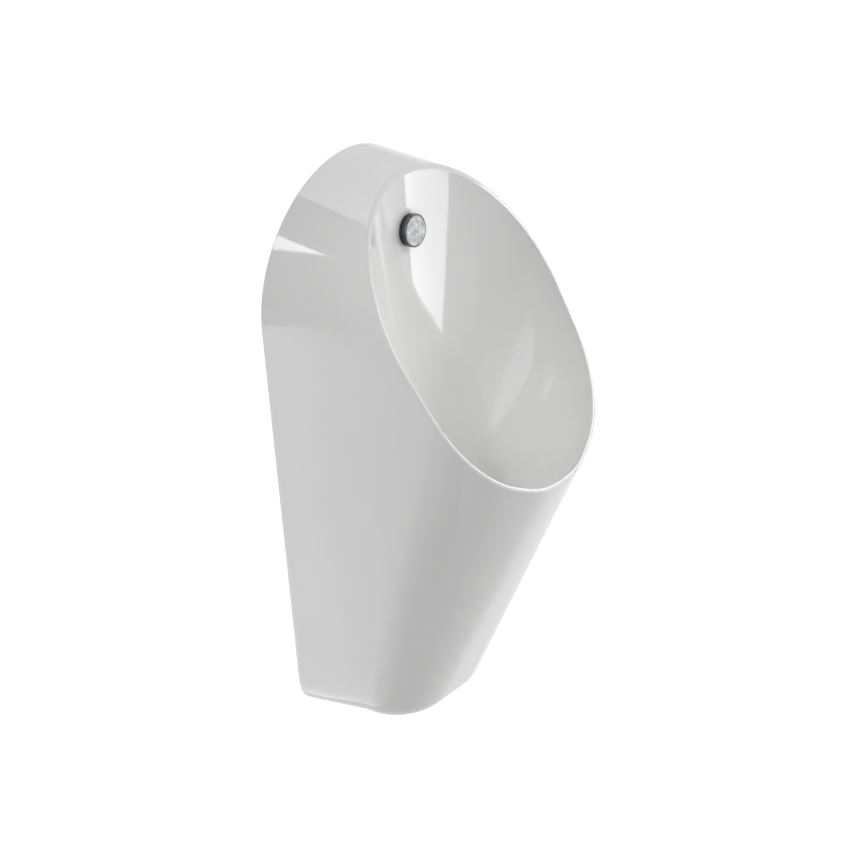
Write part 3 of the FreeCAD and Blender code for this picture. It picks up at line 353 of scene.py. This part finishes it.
def meshObject(name, bm):
    mesh = bpy.data.meshes.new(name)
    bm.to_mesh(mesh)
    bm.free()
    made = bpy.data.objects.new(name, mesh)
    scene.collection.objects.link(made)
    return made


def newPiece(name, bm, body, materials):
    piece = meshObject(name, bm)
    for material in materials:
        piece.data.materials.append(material)
    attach(piece, body)
    return piece


def smoothByAngle(mesh, angle):
    mesh.shade_smooth()
    mesh.set_sharp_from_angle(angle=math.radians(angle))


def makeCeramic(material):
    rings = toRow(ceramicRings())
    turnCount, ringCount = rings.shape[0], rings.shape[1] - 1
    bm = bmesh.new()
    bmesh.ops.create_grid(bm, x_segments=turnCount, y_segments=ringCount, size=1)
    for v in bm.verts:
        turn = round((v.co.x + 1) / 2 * turnCount) % turnCount
        ring = round((v.co.y + 1) / 2 * ringCount)
        v.co = rings[turn, ring]
    bmesh.ops.remove_doubles(bm, verts=bm.verts, dist=mergeGap)
    lip = max(bm.faces, key=lambda f: -f.calc_center_median().y)
    if lip.normal.y > 0 and lip.normal.z < 0:
        bmesh.ops.reverse_faces(bm, faces=bm.faces)
    skinTree = BVHTree.FromBMesh(bm)
    piece = newPiece("ceramicSkin", bm, "fixture", [material])
    smoothByAngle(piece.data, s["sharpAngle"])
    return piece, skinTree


# the hollow behind: which CAD faces the smooth skin covers, in mm
ceramicBack = {
    "rimBand": 9.0, "skinGap": 1.2, "gapPerSwell": 1.2, "sameWay": 0.6,
    "seatBehind": 6.0, "seatInner": 12.0, "seatOuter": 26.0, "sharpAngle": 30,
}


def makeCeramicBack(skinTree, material):
    b = ceramicBack
    bm = bmesh.new()
    bm.from_mesh(frame["nodes"]["ceramic_body"].data)
    bmesh.ops.remove_doubles(bm, verts=bm.verts, dist=mergeGap)
    covered = []
    point = sprayPoint()
    for face in bm.faces:
        middle = face.calc_center_median()
        _, skinNormal, _, skinGap = skinTree.find_nearest(middle)
        place = np.array([middle.x / mm, -middle.y / mm, middle.z / mm + s["originHeight"]])
        onRim = (place - rimCentre) @ rimNormal > -b["rimBand"]
        ahead, apart = fromSpray(place, point)
        onSeat = ahead > -b["seatBehind"] and b["seatInner"] < apart < b["seatOuter"]
        sameWay = abs(skinNormal.dot(face.normal)) > b["sameWay"]
        near = skinGap < (b["skinGap"] + b["gapPerSwell"] * crown(place[0], place[2])) * mm
        if onRim or onSeat or sameWay and near:
            covered.append(face)
    bmesh.ops.delete(bm, geom=covered, context="FACES")
    piece = newPiece("ceramicBack", bm, "fixture", [material])
    smoothByAngle(piece.data, b["sharpAngle"])
    return piece


# finishes: two close tones, the scale of the grain and its stretch, the least and most roughness, bump in mm
finishes = {
    "glaze": {"light": (0.88, 0.88, 0.875), "dark": (0.86, 0.86, 0.855), "grain": 14,
              "smooth": 0.035, "rough": 0.06, "bump": 0.01},
    "bareClay": {"light": (0.74, 0.73, 0.70), "dark": (0.64, 0.625, 0.59), "grain": 60,
                 "smooth": 0.55, "rough": 0.8, "bump": 0.15},
    "chrome": {"light": (0.80, 0.81, 0.82), "dark": (0.70, 0.71, 0.73), "grain": 40,
               "smooth": 0.06, "rough": 0.14, "bump": 0.004, "metallic": 1.0},
    "satin_chrome": {"light": (0.37, 0.375, 0.38), "dark": (0.26, 0.265, 0.27), "grain": 190,
                     "smooth": 0.3, "rough": 0.5, "bump": 0.03, "metallic": 1.0},
    # chrome darkened with painted shade, for the sides of the spray cap
    "paintedShadeChrome": {"light": (0.16, 0.163, 0.167), "dark": (0.07, 0.072, 0.075), "grain": 90,
                   "smooth": 0.12, "rough": 0.3, "bump": 0.01, "metallic": 1.0},
    "black_rubber": {"light": (0.035, 0.035, 0.037), "dark": (0.018, 0.018, 0.02), "grain": 500,
                     "smooth": 0.5, "rough": 0.75, "bump": 0.05},
    "brass": {"light": (0.76, 0.58, 0.27), "dark": (0.58, 0.42, 0.17), "grain": 70, "stretch": (1, 1, 9),
              "smooth": 0.2, "rough": 0.4, "bump": 0.02, "metallic": 1.0},
    "nickel": {"light": (0.68, 0.66, 0.62), "dark": (0.54, 0.52, 0.49), "grain": 110,
               "smooth": 0.16, "rough": 0.32, "bump": 0.01, "metallic": 1.0},
    "zinc_steel": {"light": (0.70, 0.715, 0.74), "dark": (0.46, 0.475, 0.50), "grain": 85,
                   "smooth": 0.3, "rough": 0.55, "bump": 0.02, "metallic": 1.0},
    "stainless": {"light": (0.72, 0.72, 0.72), "dark": (0.56, 0.56, 0.57), "grain": 60, "stretch": (12, 12, 1),
                  "smooth": 0.2, "rough": 0.38, "bump": 0.01, "metallic": 1.0},
    "white_plastic": {"light": (0.83, 0.83, 0.82), "dark": (0.76, 0.76, 0.745), "grain": 240,
                      "smooth": 0.34, "rough": 0.5, "bump": 0.04},
    "grey_plastic": {"light": (0.36, 0.37, 0.385), "dark": (0.29, 0.30, 0.315), "grain": 900,
                     "smooth": 0.4, "rough": 0.6, "bump": 0.06},
    "black_plastic": {"light": (0.05, 0.05, 0.053), "dark": (0.028, 0.028, 0.03), "grain": 800,
                      "smooth": 0.35, "rough": 0.55, "bump": 0.05},
    "blue_plastic": {"light": (0.05, 0.19, 0.50), "dark": (0.035, 0.13, 0.38), "grain": 300,
                     "smooth": 0.2, "rough": 0.35, "bump": 0.03},
    "board": {"light": (0.05, 0.26, 0.13), "dark": (0.02, 0.14, 0.07), "grain": 700,
              "smooth": 0.25, "rough": 0.45, "bump": 0.05},
    "cell_skin": {"light": (0.13, 0.14, 0.16), "dark": (0.07, 0.075, 0.09), "grain": 120,
                  "smooth": 0.2, "rough": 0.32, "bump": 0.02},
}
# what all finishes share: the clouds of the tone, the finer pits of the bump
surfaceGrain = {
    "cloudDetail": 3, "cloudRoughness": 0.6, "cloudLow": 0.32, "cloudHigh": 0.68,
    "pitDetail": 2, "pitFineness": 2.6, "bumpStrength": 0.4, "glossIor": 1.5,
}


def makeGrainGroup():
    # one grain for all finishes: tone, roughness and height that change over the surface
    group = bpy.data.node_groups.new("surfaceGrain", "ShaderNodeTree")
    colour, value, vector = "NodeSocketColor", "NodeSocketFloat", "NodeSocketVector"
    for name, kind in (("Light", colour), ("Dark", colour), ("Grain", value),
                       ("Stretch", vector), ("Smooth", value), ("Rough", value)):
        group.interface.new_socket(name, in_out="INPUT", socket_type=kind)
    for name, kind in (("Tone", colour), ("Roughness", value), ("Height", value)):
        group.interface.new_socket(name, in_out="OUTPUT", socket_type=kind)
    nodes, links = group.nodes, group.links
    given, made = nodes.new("NodeGroupInput"), nodes.new("NodeGroupOutput")
    place = nodes.new("ShaderNodeTexCoord")
    stretched = nodes.new("ShaderNodeVectorMath")
    stretched.operation = "MULTIPLY"
    links.new(place.outputs["Object"], stretched.inputs[0])
    links.new(given.outputs["Stretch"], stretched.inputs[1])
    clouds = nodes.new("ShaderNodeTexNoise")
    clouds.inputs["Detail"].default_value = surfaceGrain["cloudDetail"]
    clouds.inputs["Roughness"].default_value = surfaceGrain["cloudRoughness"]
    links.new(stretched.outputs[0], clouds.inputs["Vector"])
    links.new(given.outputs["Grain"], clouds.inputs["Scale"])
    spread = nodes.new("ShaderNodeMapRange")
    spread.inputs["From Min"].default_value = surfaceGrain["cloudLow"]
    spread.inputs["From Max"].default_value = surfaceGrain["cloudHigh"]
    links.new(clouds.outputs["Fac"], spread.inputs["Value"])
    tone = nodes.new("ShaderNodeMix")
    tone.data_type = "RGBA"
    links.new(spread.outputs["Result"], tone.inputs["Factor"])
    links.new(given.outputs["Dark"], tone.inputs["A"])
    links.new(given.outputs["Light"], tone.inputs["B"])
    polish = nodes.new("ShaderNodeMapRange")
    links.new(spread.outputs["Result"], polish.inputs["Value"])
    links.new(given.outputs["Rough"], polish.inputs["To Min"])
    links.new(given.outputs["Smooth"], polish.inputs["To Max"])
    finer = nodes.new("ShaderNodeMath")
    finer.operation = "MULTIPLY"
    finer.inputs[1].default_value = surfaceGrain["pitFineness"]
    links.new(given.outputs["Grain"], finer.inputs[0])
    pits = nodes.new("ShaderNodeTexNoise")
    pits.inputs["Detail"].default_value = surfaceGrain["pitDetail"]
    links.new(stretched.outputs[0], pits.inputs["Vector"])
    links.new(finer.outputs[0], pits.inputs["Scale"])
    links.new(tone.outputs["Result"], made.inputs["Tone"])
    links.new(polish.outputs["Result"], made.inputs["Roughness"])
    links.new(pits.outputs["Fac"], made.inputs["Height"])
    return group


def makeFinish(name, group):
    f = finishes[name]
    material = bpy.data.materials.new(name)
    material.use_nodes = True
    nodes, links = material.node_tree.nodes, material.node_tree.links
    shader = nodes["Principled BSDF"]
    grain = nodes.new("ShaderNodeGroup")
    grain.node_tree = group
    grain.inputs["Light"].default_value = (*f["light"], 1)
    grain.inputs["Dark"].default_value = (*f["dark"], 1)
    grain.inputs["Grain"].default_value = f["grain"]
    grain.inputs["Stretch"].default_value = f.get("stretch", (1, 1, 1))
    grain.inputs["Smooth"].default_value = f["smooth"]
    grain.inputs["Rough"].default_value = f["rough"]
    bump = nodes.new("ShaderNodeBump")
    bump.inputs["Strength"].default_value = surfaceGrain["bumpStrength"]
    bump.inputs["Distance"].default_value = f["bump"] * mm
    links.new(grain.outputs["Tone"], shader.inputs["Base Color"])
    links.new(grain.outputs["Roughness"], shader.inputs["Roughness"])
    links.new(grain.outputs["Height"], bump.inputs["Height"])
    links.new(bump.outputs["Normal"], shader.inputs["Normal"])
    shader.inputs["Metallic"].default_value = f.get("metallic", 0.0)
    shader.inputs["IOR"].default_value = surfaceGrain["glossIor"]
    return material


grainGroup = makeGrainGroup()
looks = {name: makeFinish(name, grainGroup) for name in finishes}
for part in frame["record"]["subparts"]:
    node = frame["nodes"][part["node"]]
    if not node.material_slots:
        node.data.materials.append(None)
    for place in node.material_slots:
        place.material = looks[part["material_slot"]]
print("finishes done,", len(looks))

skin, skinTree = makeCeramic(looks["glaze"])
backPiece = makeCeramicBack(skinTree, looks["bareClay"])
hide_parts("ceramic_body")
print("ceramic done,", len(skin.data.polygons), "faces,", len(backPiece.data.polygons), "behind")

# spray head: outlines as (radius, place along its axis) in mm
sprayHead = {
    "turns": 128, "sharpAngle": 35,
    "cap": ((0, 9.5), (15.5, 9.5), (15.7, 9.3), (16.0, 9.3), (16.2, 9.6), (16.9, 9.6), (17.45, 9.4),
            (17.85, 9.0), (18.0, 8.4), (18.0, 5.2), (17.8, 4.8), (17.4, 4.6), (15.5, 4.6), (15.5, 6.6),
            (8.1, 7.1), (8.1, 7.9), (0, 7.9)),
    # the gasket ring is real; its outer lip up to 3.3 mm is painted shade, black rubber over the flange where
    # it lies in shadow
    "gasket": ((10.3, 0.0), (17.0, 0.0), (17.4, 0.3), (17.4, 3.0), (17.1, 3.3), (16.6, 3.3), (16.6, 1.5),
               (10.3, 1.5)),
    # outside the face the cap gets chrome darkened with painted shade
    "faceRadius": 16.1, "faceAbove": 9.2,  # inside these the cap is satin, the rest is dark
}


def spunBm(outline, closed):
    # an outline turned full circle about the spray head's axis
    bm = bmesh.new()
    points = [bm.verts.new((radius * mm, 0, along * mm)) for radius, along in outline]
    for k in range(len(points) - 1):
        bm.edges.new((points[k], points[k + 1]))
    if closed:
        bm.edges.new((points[-1], points[0]))
    bmesh.ops.spin(bm, geom=bm.verts[:] + bm.edges[:], cent=(0, 0, 0), axis=(0, 0, 1), angle=2 * math.pi,
                   steps=sprayHead["turns"], use_merge=True)
    bmesh.ops.remove_doubles(bm, verts=bm.verts, dist=mergeGap)
    bmesh.ops.recalc_face_normals(bm, faces=bm.faces)
    return bm


def makeSprayHead():
    axis = Vector((0, -sprayAxis[1], sprayAxis[2]))
    turn = axis.to_track_quat("Z", "Y").to_matrix()
    place = Vector(toRow(sprayPoint()))
    cap = spunBm(sprayHead["cap"], False)
    faceRadius, faceAbove = sprayHead["faceRadius"] * mm, sprayHead["faceAbove"] * mm
    for f in cap.faces:
        middle = f.calc_center_median()
        onFace = math.hypot(middle.x, middle.y) < faceRadius and middle.z > faceAbove
        f.material_index = 0 if onFace else 1
    gasket = spunBm(sprayHead["gasket"], True)
    for bm in (cap, gasket):
        bmesh.ops.rotate(bm, verts=bm.verts, cent=(0, 0, 0), matrix=turn)
        bmesh.ops.translate(bm, verts=bm.verts, vec=place)
    # the cap's face is satin chrome, and its sides are a chrome copy with painted shade
    capLooks = [looks["satin_chrome"], looks["paintedShadeChrome"]]
    capPiece = newPiece("sprayCap", cap, "fixture", capLooks)
    # black rubber gasket whose outer lip is painted shade over the flange
    gasketPiece = newPiece("sprayGasketAndShadeLip", gasket, "fixture", [looks["black_rubber"]])
    for piece in (capPiece, gasketPiece):
        smoothByAngle(piece.data, sprayHead["sharpAngle"])
    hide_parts("spray_cap")
    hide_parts("spray_gasket")


makeSprayHead()
print("spray head done")

# plunger spring: its node, joint, travel and the merge of its wire, in metres; the CAD spring is merged and
# smooth shaded
plungerSpring = {
    "node": "plunger_spring", "joint": "solenoid_travel", "travel": 0.0045,
    "wireMerge": 1e-7, "sharpAngle": 40,
}


def makePlungerSpring():
    bm = bmesh.new()
    bm.from_mesh(frame["nodes"][plungerSpring["node"]].data)
    bmesh.ops.remove_doubles(bm, verts=bm.verts, dist=plungerSpring["wireMerge"])
    piece = newPiece("plungerSpring", bm, "fixture", [looks["stainless"]])
    smoothByAngle(piece.data, plungerSpring["sharpAngle"])
    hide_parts(plungerSpring["node"])
    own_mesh(piece)


makePlungerSpring()
print("plunger spring done")


def wayTo(azimuth, elevation):
    # three directions: towards a place round the object, to its right and upwards
    a, e = math.radians(azimuth), math.radians(elevation)
    away = Vector((math.sin(a) * math.cos(e), -math.cos(a) * math.cos(e), math.sin(e)))
    right = Vector((math.cos(a), math.sin(a), 0))
    return away, right, away.cross(right)


# camera at the photo's angle
cameraSetup = {
    "target": (-0.004336, -0.118575, -0.076364), "azimuth": -54.04, "elevation": 28.2355, "distance": 5.885,
    "lens": 231.18, "sensor": 36, "clipEnd": 50,
}


def makeCamera():
    data = bpy.data.cameras.new("camera")
    camera = bpy.data.objects.new("camera", data)
    scene.collection.objects.link(camera)
    back = wayTo(cameraSetup["azimuth"], cameraSetup["elevation"])[0]
    camera.location = Vector(cameraSetup["target"]) + back * cameraSetup["distance"]
    camera.rotation_euler = (-back).to_track_quat("-Z", "Y").to_euler()
    data.lens = cameraSetup["lens"]
    data.sensor_width = cameraSetup["sensor"]
    data.clip_end = cameraSetup["clipEnd"]
    scene.camera = camera


makeCamera()
print("camera done")

# studio: a pale floor at the height a urinal hangs over it, soft light all round,
# five lamps and cards that only reflect
studio = {
    "floorHeight": -0.735, "floorSize": 30.0, "floorColour": (0.7, 0.7, 0.7), "floorGlow": 0.68,
    "floorRoughness": 0.9, "ambient": 0.5, "spotBlend": 0.8, "cardCentre": (0, -0.1, 0),
    # each lamp: kind, azimuth, elevation, distance, the point it looks at, power, size, cone in degrees
    "lamps": {
        "leftLamp": ("AREA", -125, 5, 2.5, (0, -0.1, -0.05), 7.5, 1.2, 0),
        "frontLamp": ("AREA", 38, -4, 2.5, (0, -0.15, 0.0), 10.3, 1.0, 0),
        "rightLamp": ("AREA", 75, 20, 2.5, (0, -0.15, 0.0), 15.0, 1.0, 0),
        "bowlLamp": ("SPOT", 10, 48, 2.6, (0, -0.19, -0.02), 74.0, 0.25, 9.5),
        "lipLamp": ("SPOT", -100, 55, 2.6, (0.07, -0.225, -0.095), 72.0, 0.15, 5.0),
    },
    # each card: azimuth, elevation and distance of its plane,
    # then columns on it: place across, lowest, highest, strength
    "cards": {
        "frontCard": (40, 0, 0.8, (
            (-0.30, -0.050, -0.02, 5.4), (-0.262, -0.063, -0.02, 5.4), (-0.223, -0.078, -0.02, 5.4),
            (-0.162, -0.123, -0.02, 5.4), (-0.119, -0.156, -0.02, 5.4), (-0.110, -0.166, -0.02, 5.4),
            (0.148, -0.154, -0.02, 5.4))),
        "topCard": (160, 45, 1.6, (
            (-1.45, -1.8, 0.3, 0.8), (-1.0, -1.3, 0.8, 1.3), (-0.4, -0.6, 1.2, 2.3), (0.1, 0.1, 1.2, 2.9),
            (0.35, 0.34, 1.0, 3.0), (0.75, 0.66, 0.70, 3.0))),
        "wedgeCard": (-129, 30, 1.6, (
            (-0.30, -0.25, 0.298, 8.5), (0.037, -0.25, 0.146, 8.5), (0.055, -0.25, -0.24, 8.5))),
        "rimCard": (49, 18.6, 1.6, ((-0.2, -0.16, 0.16, 6.5), (0.2, -0.16, 0.16, 6.5))),
        "lowCard": (-128, -35, 0.45, (
            (-0.10, -0.4, 0.08, 2.6), (0.009, -0.4, 0.175, 2.6), (0.065, -0.4, 0.225, 2.05),
            (0.12, -0.4, 0.265, 1.5), (0.177, -0.4, 0.325, 1.05), (0.4, -0.4, 0.5, 0.6))),
        "patchCard": (-80, 0, 1.6, (
            (-0.55, 0.66, 1.2, 2.0), (-0.179, 0.485, 1.2, 2.0), (0.498, 0.166, 1.2, 2.0),
            (1.18, 0.347, 1.2, 2.0), (1.9, 0.30, 1.2, 2.0))),
    },
}


def seenRays(tree):
    # one where the camera, a reflection or clear glass looks at the surface
    rays = tree.nodes.new("ShaderNodeLightPath")
    first = tree.nodes.new("ShaderNodeMath")
    first.operation = "MAXIMUM"
    second = tree.nodes.new("ShaderNodeMath")
    second.operation = "MAXIMUM"
    tree.links.new(rays.outputs["Is Camera Ray"], first.inputs[0])
    tree.links.new(rays.outputs["Is Glossy Ray"], first.inputs[1])
    tree.links.new(first.outputs[0], second.inputs[0])
    tree.links.new(rays.outputs["Is Transmission Ray"], second.inputs[1])
    return second.outputs[0]


def stageLook(name, colour):
    # a material with no gloss and a white glow, whose strength each use links
    material = bpy.data.materials.new(name)
    material.use_nodes = True
    shader = material.node_tree.nodes["Principled BSDF"]
    shader.inputs["Base Color"].default_value = (*colour, 1)
    shader.inputs["Specular IOR Level"].default_value = 0.0
    shader.inputs["Emission Color"].default_value = (1, 1, 1, 1)
    return material, material.node_tree, shader


def makeFloor():
    bm = bmesh.new()
    bmesh.ops.create_grid(bm, x_segments=1, y_segments=1, size=studio["floorSize"])
    bmesh.ops.translate(bm, verts=bm.verts, vec=(0, 0, studio["floorHeight"]))
    floor = meshObject("floor", bm)
    material, tree, shader = stageLook("paleFloor", studio["floorColour"])
    shader.inputs["Roughness"].default_value = studio["floorRoughness"]
    glow = tree.nodes.new("ShaderNodeMath")
    glow.operation = "MULTIPLY"
    glow.inputs[1].default_value = studio["floorGlow"]
    tree.links.new(seenRays(tree), glow.inputs[0])
    tree.links.new(glow.outputs[0], shader.inputs["Emission Strength"])
    floor.data.materials.append(material)


def makeLamp(name, kind, azimuth, elevation, distance, target, power, size, cone):
    data = bpy.data.lights.new(name, kind)
    data.energy = power
    if kind == "SPOT":
        data.shadow_soft_size = size
        data.spot_size = math.radians(cone)
        data.spot_blend = studio["spotBlend"]
    else:
        data.size = size
    lamp = bpy.data.objects.new(name, data)
    scene.collection.objects.link(lamp)
    away = wayTo(azimuth, elevation)[0]
    lamp.location = Vector(target) + away * distance
    lamp.rotation_euler = away.to_track_quat("Z", "Y").to_euler()
    lamp.visible_camera = False
    lamp.visible_glossy = False


def makeCard(name, azimuth, elevation, distance, columns):
    away, right, up = wayTo(azimuth, elevation)
    middle = Vector(studio["cardCentre"]) + away * distance
    bm = bmesh.new()
    glow = bm.verts.layers.float.new("glow")
    last = None
    for across, low, high, strength in columns:
        pair = [bm.verts.new(middle + right * across + up * v) for v in (low, high)]
        for v in pair:
            v[glow] = strength
        if last:
            bm.faces.new((last[0], pair[0], pair[1], last[1]))
        last = pair
    card = meshObject(name, bm)
    card.visible_camera = False
    card.visible_shadow = False
    card.visible_diffuse = False
    material, tree, shader = stageLook(name, (0, 0, 0))
    level = tree.nodes.new("ShaderNodeAttribute")
    level.attribute_name = "glow"
    tree.links.new(level.outputs["Fac"], shader.inputs["Emission Strength"])
    card.data.materials.append(material)


def makeWorld():
    world = bpy.data.worlds.new("studio")
    scene.world = world
    world.use_nodes = True
    tree = world.node_tree
    light = tree.nodes["Background"]
    light.inputs["Color"].default_value = (1, 1, 1, 1)
    level = tree.nodes.new("ShaderNodeMapRange")
    level.inputs["To Min"].default_value = studio["ambient"]
    level.inputs["To Max"].default_value = 1.0
    tree.links.new(seenRays(tree), level.inputs["Value"])
    tree.links.new(level.outputs["Result"], light.inputs["Strength"])


makeFloor()
for name, lamp in studio["lamps"].items():
    makeLamp(name, *lamp)
for name, card in studio["cards"].items():
    makeCard(name, *card)
makeWorld()
scene.view_settings.view_transform = "Standard"
print("studio done")
